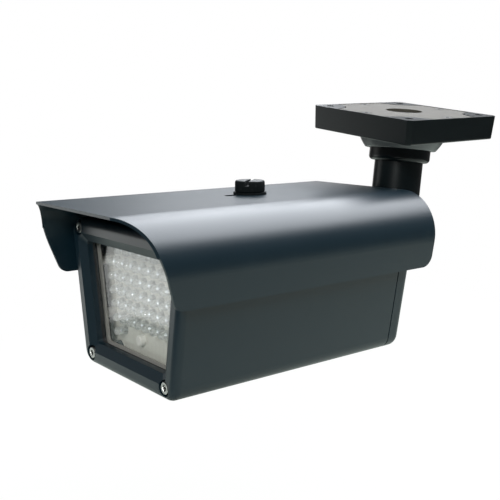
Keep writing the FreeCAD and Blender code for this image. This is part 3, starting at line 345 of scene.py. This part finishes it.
def window_glass():
    """Clear pane: what shows at each angle is its reflection, and the rest is clear.
    Both faces reflect 4 % head on and everything at a grazing angle."""
    pane = Finish("window_glass")
    slant = pane.node("ShaderNodeLayerWeight", None, {"Blend": 0.5}, output="Facing")
    smear = pane.noise(30.0 * MM, detail=4.0, roughness=0.6)
    head_on = 0.04
    reflected = head_on + slant ** 5.0 * (1.0 - head_on)
    return pane.surface(Base_Color=solid((0.93, 0.95, 0.95)), Metallic=1.0,
                        Roughness=0.03 + smear * 0.06, Alpha=reflected + smear * 0.02)


def clear_lens():
    """Water-clear epoxy of the lamps."""
    lens = Finish("clear_lens")
    ripple = lens.noise(1.5 * MM, detail=1.0)
    cool, clear = (0.86, 0.92, 0.97), (0.97, 0.99, 1.0)
    return lens.surface(Base_Color=lens.mixed(ripple, cool, clear), IOR=1.5,
                        Roughness=0.02 + ripple * 0.05,
                        Transmission_Weight=0.85, Alpha=0.5 + ripple * 0.1,
                        Normal=lens.bumped(ripple, depth=0.03 * MM, strength=0.3))


def lamp_metal():
    """Silvered lead frame and cup inside each lamp."""
    metal = Finish("lamp_metal")
    dull = metal.noise(0.6 * MM, detail=2.0)
    silver, tarnish = (0.9, 0.93, 0.97), (0.7, 0.72, 0.76)
    return metal.surface(Base_Color=metal.mixed(dull, silver, tarnish), Metallic=1.0,
                         Roughness=0.18 + dull * 0.2)


def photocell_face():
    """Sensor disc: fine dull tracks between pale electrodes, under clear resin."""
    cell = Finish("photocell_face")
    comb = cell.node("ShaderNodeTexWave", {"bands_direction": "Z"},
                     {"Vector": cell.place, "Scale": 620.0, "Distortion": 1.2, "Detail": 0.0})
    electrode = cell.between(comb, 0.4, 0.6)
    dull, pale = (0.5, 0.47, 0.42), (0.8, 0.8, 0.77)
    return cell.surface(Base_Color=cell.mixed(electrode, dull, pale),
                        Roughness=0.3 + electrode * 0.1, Coat_Weight=0.8, Coat_Roughness=0.05,
                        Normal=cell.bumped(electrode, depth=0.03 * MM, strength=0.5))


COAT_DARK = (0.002, 0.0105, 0.017)
COAT_LIGHT = (0.004, 0.0155, 0.024)

FINISHES = {
    "black_coat": powder_coat("powder_coat", COAT_DARK, COAT_LIGHT),
    "base_coat": powder_coat("base_powder_coat", (0.001, 0.003, 0.004),
                             (0.002, 0.006, 0.007), roughness=0.3, ior=1.37),
    "ball_coat": powder_coat("ball_powder_coat", (0.1, 0.11, 0.115),
                             (0.14, 0.15, 0.155), roughness=0.34),
    "black_thumb": blacked_steel(),
    "plated_steel": plated_steel(),
    "screw_steel": screw_steel(),
    "plain_aluminium": plain_aluminium(),
    "seal_rubber": moulded("seal_rubber", (0.008, 0.008, 0.009), (0.02, 0.02, 0.02), 0.7),
    "window_glass": window_glass(),
    "clear_lens": clear_lens(),
    "photocell_resin": photocell_face(),
    "board_laminate": board_laminate(),
    "driver_laminate": driver_laminate(),
    "nylon": moulded("nylon", (0.6, 0.59, 0.54), (0.72, 0.71, 0.67), 0.5),
    "coil_copper": copper_winding(),
    "capacitor_sleeve": moulded("capacitor_sleeve", (0.02, 0.03, 0.06), (0.04, 0.05, 0.1),
                                0.25),
}
LAMP_METAL = lamp_metal()

# The arm and its collar get the ceiling base's blacker coat, a painted shade for the shade the
# base casts on them, and the plate's screws are blacked
BLACKER_AND_SHADED = {"bracket_arm": "base_coat", "ball_collar": "base_coat",
           "clamp_plate_screws": "black_thumb"}


def dress_cad_nodes():
    """Each CAD node gets the finish of its slot in the record, or a blacker one, which on the
    arm and collar is painted shade.
    """
    for part in frame["record"]["subparts"]:
        node = frame["nodes"][part["node"]]
        node.data.materials.clear()
        node.data.materials.append(FINISHES[BLACKER_AND_SHADED.get(part["node"], part["material_slot"])])


# Shapes

# Points of a CAD mesh, and of a turned form's seam, that are nearer than this are one point
CAD_WELD = 0.001 * MM
SEAM_WELD = 0.0005 * MM


def solid_boxes(node):
    """The lowest and highest corners of each separate solid of a CAD node, from the lowest
    row up and from left to right."""
    merged = bmesh.new()
    merged.from_mesh(frame["nodes"][node].data)
    bmesh.ops.remove_doubles(merged, verts=merged.verts, dist=CAD_WELD)
    boxes = []
    waiting = set(merged.verts)
    while waiting:
        reached = [waiting.pop()]
        points = []
        while reached:
            vertex = reached.pop()
            points.append(vertex.co.copy())
            for edge in vertex.link_edges:
                other = edge.other_vert(vertex)
                if other in waiting:
                    waiting.remove(other)
                    reached.append(other)
        low = Vector(min(point[axis] for point in points) for axis in range(3))
        high = Vector(max(point[axis] for point in points) for axis in range(3))
        boxes.append((low, high))
    merged.free()
    return sorted(boxes, key=lambda box: (round(box[0].z, 5), box[0].x))


class Shape(Nodes):
    """A Geometry Nodes tree. Its sizes are named inputs, with the values used here."""

    def __init__(self, name, sizes):
        tree = bpy.data.node_groups.new(name, "GeometryNodeTree")
        super().__init__(tree)
        tree.interface.new_socket(name="Places", in_out="INPUT",
                                  socket_type="NodeSocketGeometry")
        tree.interface.new_socket(name="Geometry", in_out="OUTPUT",
                                  socket_type="NodeSocketGeometry")
        self.sizes = sizes
        self.identifiers = {}
        for label, size in sizes.items():
            kind = "NodeSocketVector" if isinstance(size, tuple) else "NodeSocketFloat"
            item = tree.interface.new_socket(name=label, in_out="INPUT", socket_type=kind)
            self.identifiers[label] = item.identifier
        self.source = self.made("NodeGroupInput")
        self.places = Value(self, self.source.outputs["Places"])

    def size(self, label):
        """The input of this name."""
        return Value(self, self.source.outputs[label])

    def by_row(self, row, values):
        """The value of each row, where row is a number from 0 upwards."""
        total = values[0]
        for index in range(1, len(values)):
            total = total + (row > index - 0.5) * (values[index] - values[index - 1])
        return total

    def turned(self, sides, profile):
        """A closed turned form about +Z. The profile goes from the low end of the axis to the
        high end as pairs of height and radius, each a value or a function of the angle."""
        grid = self.made("GeometryNodeMeshGrid", None,
                         {"Size X": 1.0, "Size Y": 1.0, "Vertices X": sides + 1,
                          "Vertices Y": len(profile)})
        across, along, _ = self.node("GeometryNodeInputPosition").parts()
        angle = (across + 0.5) * math.tau
        row = (along + 0.5) * (len(profile) - 1.0)
        height = self.by_row(row, [height for height, radius in profile])
        radius = self.by_row(row, [radius(angle) if callable(radius) else radius
                                   for height, radius in profile])
        spot = self.node("ShaderNodeCombineXYZ", None,
                         {0: radius * angle.cosine(), 1: radius * angle.sine(),
                          2: height})
        wrapped = self.node("GeometryNodeSetPosition", None,
                            {"Geometry": Value(self, grid.outputs["Mesh"]), "Position": spot})
        return self.node("GeometryNodeMergeByDistance", None,
                         {"Geometry": wrapped, "Distance": SEAM_WELD})

    def knurling(self, radius, depth, ridges):
        """A radius that dips by the depth between this many ridges round the axis."""
        return lambda angle: radius - depth * (0.5 + 0.5 * (angle * ridges).cosine())

    def moved(self, geometry, shift=(0.0, 0.0, 0.0), turn=(0.0, 0.0, 0.0)):
        """The form turned about the origin and then shifted."""
        return self.node("GeometryNodeTransform", None,
                         {"Geometry": geometry, "Translation": shift, "Rotation": turn})

    def joined(self, *geometries):
        """Several forms as one."""
        join = self.made("GeometryNodeJoinGeometry")
        for geometry in reversed(geometries):
            self.tree.links.new(geometry.socket, join.inputs[0])
        return Value(self, join.outputs[0])

    def at_places(self, geometry, material):
        """End the tree: the form at each point of the places, as real mesh."""
        copies = self.node("GeometryNodeInstanceOnPoints", None,
                           {"Points": self.places, "Instance": geometry})
        real = self.node("GeometryNodeRealizeInstances", None, {"Geometry": copies})
        coated = self.node("GeometryNodeSetMaterial", None,
                           {"Geometry": real, "Material": material})
        self.made("NodeGroupOutput", None, {0: coated})

    def grown(self, name, places):
        """The mesh that the tree makes at these places, as a new plain object."""
        seed = bpy.data.meshes.new(name + "_places")
        seed.from_pydata([tuple(place) for place in places], [], [])
        holder = bpy.data.objects.new(name + "_places", seed)
        bpy.context.scene.collection.objects.link(holder)
        modifier = holder.modifiers.new(name, "NODES")
        modifier.node_group = self.tree
        for label, size in self.sizes.items():
            modifier[self.identifiers[label]] = size
        bpy.context.view_layer.update()
        depsgraph = bpy.context.evaluated_depsgraph_get()
        mesh = bpy.data.meshes.new_from_object(holder.evaluated_get(depsgraph),
                                               depsgraph=depsgraph)
        bpy.data.objects.remove(holder)
        mesh.name = name
        made = bpy.data.objects.new(name, mesh)
        bpy.context.scene.collection.objects.link(made)
        return made


def rounded_edge(height, radius, size, steps):
    """Points of a round outer edge, from its side at the full radius to its top."""
    for step in range(steps + 1):
        turn = 0.5 * math.pi * step / steps
        yield height - size + size * math.sin(turn), radius - size + size * math.cos(turn)


def fitted(piece, body, slot, *replaced, sharp=35.0):
    """Smooth the piece's faces but for edges of more than this many degrees, and say what it
    rides on and stands for. The slot is not used."""
    piece.data.shade_smooth()
    piece.data.set_sharp_from_angle(angle=math.radians(sharp))
    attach(piece, body)
    if replaced:
        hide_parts(*replaced)


# Lamps

LENS_SIDES = 20
DOME_STEPS = 7
CUP_SIDES = 12
POST_SIDES = 6


def lens_shape(radius, length):
    """One clear lamp on the board: its flange, its barrel and its domed end."""
    shape = Shape("lamp_lens", {"Radius": radius, "Length": length,
                                "Flange radius": radius * 1.16,
                                "Flange height": 1.0 * MM,
                                "Facing": (math.pi / 2, 0.0, 0.0)})
    barrel, flange = shape.size("Radius"), shape.size("Flange radius")
    lift, end = shape.size("Flange height"), shape.size("Length")
    lens = shape.turned(LENS_SIDES, [(0.0, 0.0), (0.0, flange), (lift, flange), (lift, barrel),
                                     *rounded_edge(end, barrel, barrel, DOME_STEPS)])
    shape.at_places(shape.moved(lens, turn=shape.size("Facing")), FINISHES["clear_lens"])
    return shape


def lead_frame_shape(radius):
    """The cup on its post, and the second post beside it."""
    shape = Shape("lead_frame", {"Cup height": 3.6 * MM, "Cup depth": 0.9 * MM,
                                 "Cup radius": radius * 0.42, "Cup floor": radius * 0.2,
                                 "Post radius": 0.3 * MM, "Post spacing": radius * 0.5,
                                 "Facing": (math.pi / 2, 0.0, 0.0)})
    high, deep = shape.size("Cup height"), shape.size("Cup depth")
    rim, floor = shape.size("Cup radius"), shape.size("Cup floor")
    post, spacing = shape.size("Post radius"), shape.size("Post spacing")
    mouth, bottom = rim * 0.86, high - deep * 0.6
    cup = shape.turned(CUP_SIDES, [(0.0, 0.0), (0.0, post), (high - deep, post), (high, rim),
                                   (high, mouth), (bottom, floor), (bottom, 0.0)])
    tip = high * 1.05
    stub = shape.turned(POST_SIDES, [(0.0, 0.0), (0.0, post), (tip, post), (tip, 0.0)])
    beside = shape.node("ShaderNodeCombineXYZ", None, {0: spacing})
    metal = shape.joined(cup, shape.moved(stub, shift=beside))
    shape.at_places(shape.moved(metal, turn=shape.size("Facing")), LAMP_METAL)
    return shape


def make_lamps():
    """A lens and a lead frame in the place of each lamp of the CAD model."""
    boxes = solid_boxes("led_array")
    places = [Vector(((low.x + high.x) / 2, high.y, (low.z + high.z) / 2))
              for low, high in boxes]
    low, high = boxes[0]
    radius, length = (high.x - low.x) / 2, high.y - low.y
    lenses = lens_shape(radius, length).grown("lamp_lenses", places)
    fitted(lenses, "lamp_head", "clear_lens", "led_array")
    frames = lead_frame_shape(radius).grown("lamp_lead_frames", places)
    fitted(frames, "lamp_head", "plain_aluminium")


# Cap screws

HEAD_RADIUS = 3.5 * MM
HEAD_HEIGHT = 4.0 * MM
SHANK_RADIUS = 2.0 * MM
CAP_SCREW_SIDES = 144


def cap_screw_shape(length, facing):
    """A socket-head screw with a knurled head, seated at height 0."""
    shape = Shape("cap_screw", {"Head radius": HEAD_RADIUS, "Head height": HEAD_HEIGHT,
                                "Head bevel": 0.35 * MM, "Ridge depth": 0.12 * MM,
                                "Ridges": 36.0, "Socket radius": 1.73 * MM,
                                "Socket depth": 2.2 * MM, "Socket bevel": 0.25 * MM,
                                "Shank radius": SHANK_RADIUS,
                                "Shank length": length - HEAD_HEIGHT, "Facing": facing})
    head, height = shape.size("Head radius"), shape.size("Head height")
    bevel, shank = shape.size("Head bevel"), shape.size("Shank radius")
    socket, depth = shape.size("Socket radius"), shape.size("Socket depth")
    mouth, ridge = shape.size("Socket bevel"), shape.size("Ridge depth")
    end, smooth = 0.0 - shape.size("Shank length"), head - ridge
    knurled = shape.knurling(head, ridge, shape.size("Ridges"))

    def hexagonal(angle):
        sixth = math.pi / 3
        off_flat = angle.within(sixth) - sixth / 2
        return socket * math.cos(sixth / 2) / off_flat.cosine()

    def socket_mouth(angle):
        return hexagonal(angle) + mouth

    # The knurling stops short of a smooth crown, and the socket ends in a shallow drill cone
    knurl_end, crown_start, crown_bend = bevel * 2.0, bevel * 1.6, bevel * 0.4
    drawn_in, cone_tip = bevel * 0.3, depth * 1.2
    screw = shape.turned(CAP_SCREW_SIDES, [
        (end, 0.0), (end, shank), (0.0, shank), (0.0, head), (bevel, head), (bevel, knurled),
        (height - knurl_end, knurled), (height - crown_start, smooth),
        (height - crown_bend, smooth - drawn_in), (height, smooth - bevel),
        (height, socket_mouth), (height - mouth, hexagonal), (height - depth, hexagonal),
        (height - cone_tip, 0.0)])
    shape.at_places(shape.moved(screw, turn=shape.size("Facing")), FINISHES["screw_steel"])
    return shape


def make_cap_screws(name, node, facing_front):
    """The screws of one group. They face along -Y on the front and +Y on the back."""
    boxes = solid_boxes(node)
    turn = math.pi / 2 if facing_front else -math.pi / 2
    places = []
    for low, high in boxes:
        seat = low.y + HEAD_HEIGHT if facing_front else high.y - HEAD_HEIGHT
        places.append(Vector(((low.x + high.x) / 2, seat, (low.z + high.z) / 2)))
    length = boxes[0][1].y - boxes[0][0].y
    screws = cap_screw_shape(length, (turn, 0.0, 0.0)).grown(name, places)
    fitted(screws, "lamp_head", "screw_steel", node, sharp=25.0)


# Thumb screw

THUMB_TURN = math.radians(39.7)
THUMB_THREAD_RADIUS = 2.5 * MM
THUMB_THREAD_LENGTH = 10.5 * MM
THUMB_SLOT_WIDTH = 2.5 * MM
THUMB_SLOT_DEPTH = 3.0 * MM
THUMB_SIDES = 240
THUMB_ROUND_STEPS = 4


def make_thumb_screw():
    """The slotted thumb screw with fine straight knurling round its head."""
    low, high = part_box("thumb_screw")
    seat = low.z + THUMB_THREAD_LENGTH
    centre = Vector(((low.x + high.x) / 2, (low.y + high.y) / 2, seat))
    shape = Shape("thumb_screw_form", {
        "Head radius": (high.x - low.x) / 2, "Head height": high.z - seat,
        "Top round": 0.9 * MM, "Foot bevel": 0.5 * MM, "Ridge depth": 0.16 * MM,
        "Ridges": 60.0, "Thread radius": THUMB_THREAD_RADIUS,
        "Thread length": THUMB_THREAD_LENGTH,
        "Slot width": THUMB_SLOT_WIDTH, "Slot depth": THUMB_SLOT_DEPTH,
        "Washer gap": 0.02 * MM})
    head, height = shape.size("Head radius"), shape.size("Head height")
    top, foot = shape.size("Top round"), shape.size("Foot bevel")
    thread, end = shape.size("Thread radius"), 0.0 - shape.size("Thread length")
    gap, ridge = shape.size("Washer gap"), shape.size("Ridge depth")
    smooth, thread_tip = head - ridge, thread * 0.8
    knurl_start, knurl_end = foot * 1.4, height - top * 1.2
    knurled = shape.knurling(head, ridge, shape.size("Ridges"))
    form = shape.turned(THUMB_SIDES, [
        (end, 0.0), (end, thread_tip), (end + foot, thread), (gap, thread),
        (gap, head - foot - ridge), (foot, smooth), (knurl_start, knurled),
        (knurl_end, knurled), *rounded_edge(height, smooth, top, THUMB_ROUND_STEPS),
        (height, 0.0)])
    # The cutter is centred on the head's top and is longer than the head is wide
    slot_size = shape.node("ShaderNodeCombineXYZ", None,
                           {0: shape.size("Slot width"), 1: head * 2.4,
                            2: shape.size("Slot depth") * 2.0})
    block = shape.node("GeometryNodeMeshCube", None, {"Size": slot_size})
    lift = shape.node("ShaderNodeCombineXYZ", None, {2: height})
    cutter = shape.moved(block, shift=lift)
    cut = shape.node("GeometryNodeMeshBoolean", {"operation": "DIFFERENCE"},
                     {"Mesh 1": form, "Mesh 2": cutter})
    shape.at_places(shape.moved(cut, turn=(0.0, 0.0, THUMB_TURN)), FINISHES["black_thumb"])
    screw = shape.grown("thumb_screw_knob", [centre])
    fitted(screw, "thumb", "black_thumb", "thumb_screw", sharp=28.0)


# Stage

WHITE = (1.0, 1.0, 1.0, 1.0)

# The floor's drop below the lamp, and half its width. The camera sees mostly an even white
# on it, where the light sees plain grey paint.
FLOOR_DROP = 0.12
FLOOR_HALF = 0.52
FLOOR_WHITE = 1.02
FLOOR_WHITE_SHARE = 0.94


def make_floor():
    """A wide pale floor well below the hanging lamp."""
    half = FLOOR_HALF
    mesh = bpy.data.meshes.new("floor")
    level = cad_box[0].z - FLOOR_DROP
    mesh.from_pydata([(-half, -half, level), (half, -half, level), (half, half, level),
                      (-half, half, level)], [], [(0, 1, 2, 3)])
    floor = bpy.data.objects.new("floor", mesh)
    bpy.context.scene.collection.objects.link(floor)
    paint = Finish("floor_paint")
    grain = paint.noise(400.0 * MM, detail=3.0)
    grey, lighter = (0.31, 0.34, 0.3), (0.34, 0.37, 0.33)
    plain = paint.node("ShaderNodeBsdfDiffuse", None,
                       {"Color": paint.mixed(grain, grey, lighter)})
    white = paint.node("ShaderNodeEmission", None, {"Color": WHITE, "Strength": FLOOR_WHITE})
    seen = paint.node("ShaderNodeLightPath", output="Is Camera Ray")
    both = paint.node("ShaderNodeMixShader", None,
                      {0: seen * FLOOR_WHITE_SHARE, 1: plain, 2: white})
    paint.made("ShaderNodeOutputMaterial", None, {"Surface": both})
    mesh.materials.append(paint.material)


# The backdrop's middle, seen from the lamp, and the cosines of the angles from it between
# which the white fades. Polished surfaces reflect the backdrop and the dimmer room, and dull
# ones get an even light.
BACKDROP_WAY = (-0.839, 0.545, 0.0)
BACKDROP_EDGE = 0.972
BACKDROP_CORE = 0.998
BACKDROP_GLOW = 0.87
ROOM_GLOW = 0.1
EVEN_LIGHT = 0.3


def make_world():
    """A white backdrop behind the lamp and a dimmer room on the other side."""
    world = bpy.data.worlds.new("studio")
    bpy.context.scene.world = world
    world.use_nodes = True
    sky = Nodes(world.node_tree)
    way = sky.node("ShaderNodeTexCoord", output="Generated")
    towards = sky.node("ShaderNodeVectorMath", {"operation": "DOT_PRODUCT"},
                       {0: way, 1: BACKDROP_WAY}, output="Value")
    shine = sky.node("ShaderNodeMapRange", {"interpolation_type": "SMOOTHSTEP"},
                     {"Value": towards, "From Min": BACKDROP_EDGE,
                      "From Max": BACKDROP_CORE, "To Min": ROOM_GLOW,
                      "To Max": BACKDROP_GLOW})
    paths = sky.made("ShaderNodeLightPath")
    camera = Value(sky, paths.outputs["Is Camera Ray"])
    through = Value(sky, paths.outputs["Is Transmission Ray"])
    glossy = Value(sky, paths.outputs["Is Glossy Ray"])
    clear = camera.or_more(through)
    soft = EVEN_LIGHT + glossy * (shine - EVEN_LIGHT)
    strength = soft + clear * (1.0 - soft)
    light = sky.node("ShaderNodeBackground", None,
                     {"Color": WHITE, "Strength": strength})
    sky.made("ShaderNodeOutputWorld", None, {"Surface": light})


# Each softbox: its name, its direction as azimuth from +X and height in degrees, its width
# and height in metres, how bright its face is where a white backdrop is 1, and its colour
SOFTBOX_DISTANCE = 3.0
DAYLIGHT = (0.92, 0.95, 1.0)
NEUTRAL = (0.98, 1.0, 0.98)
SOFTBOXES = [
    ("long_overhead", 92.0, 58.5, 3.9, 2.6, 9.0, DAYLIGHT),
    ("back_left", 142.5, 30.5, 0.85, 1.1, 5.2, DAYLIGHT),
    ("front_left", 209.4, -8.0, 1.22, 1.25, 1.9, NEUTRAL),
    ("front_above", 304.0, 28.0, 0.6, 0.6, 54.0, NEUTRAL),
]


def direction(azimuth, elevation):
    """The unit vector at these angles in degrees."""
    azimuth, elevation = math.radians(azimuth), math.radians(elevation)
    return Vector((math.cos(azimuth) * math.cos(elevation),
                   math.sin(azimuth) * math.cos(elevation), math.sin(elevation)))


def make_softbox(name, azimuth, elevation, width, height, brightness, colour):
    """A soft area lamp in a direction from the middle of the object, facing it."""
    centre = (cad_box[0] + cad_box[1]) / 2
    way = direction(azimuth, elevation)
    lamp = bpy.data.lights.new(name, "AREA")
    lamp.shape = "RECTANGLE"
    lamp.size, lamp.size_y = width, height
    lamp.energy = brightness * math.pi * width * height
    lamp.color = colour
    holder = bpy.data.objects.new(name, lamp)
    holder.location = centre + way * SOFTBOX_DISTANCE
    holder.rotation_euler = (-way).to_track_quat("-Z", "Y").to_euler()
    bpy.context.scene.collection.objects.link(holder)


def make_camera():
    """The camera where the photo was taken from."""
    camera = bpy.data.cameras.new("camera")
    camera.lens = CAMERA_LENS
    camera.sensor_width = SENSOR_WIDTH
    camera.clip_start, camera.clip_end = CLIP_NEAR, CLIP_FAR
    holder = bpy.data.objects.new("camera", camera)
    ahead = Vector((-math.sin(CAMERA_AZIMUTH) * math.cos(CAMERA_ELEVATION),
                    math.cos(CAMERA_AZIMUTH) * math.cos(CAMERA_ELEVATION),
                    -math.sin(CAMERA_ELEVATION)))
    holder.location = CAMERA_PLACE
    holder.rotation_euler = ahead.to_track_quat("-Z", "Y").to_euler()
    bpy.context.scene.collection.objects.link(holder)
    bpy.context.scene.camera = holder


# Make everything

dress_cad_nodes()
make_lamps()
make_cap_screws("bezel_screw_heads", "bezel_screws", facing_front=True)
make_cap_screws("rear_cap_screw_heads", "rear_cap_screws", facing_front=False)
make_cap_screws("arm_flange_screw_heads", "arm_flange_screws", facing_front=False)
make_thumb_screw()
make_floor()
make_world()
for softbox in SOFTBOXES:
    make_softbox(*softbox)
make_camera()

scene = bpy.context.scene
scene.view_settings.view_transform = "Standard"
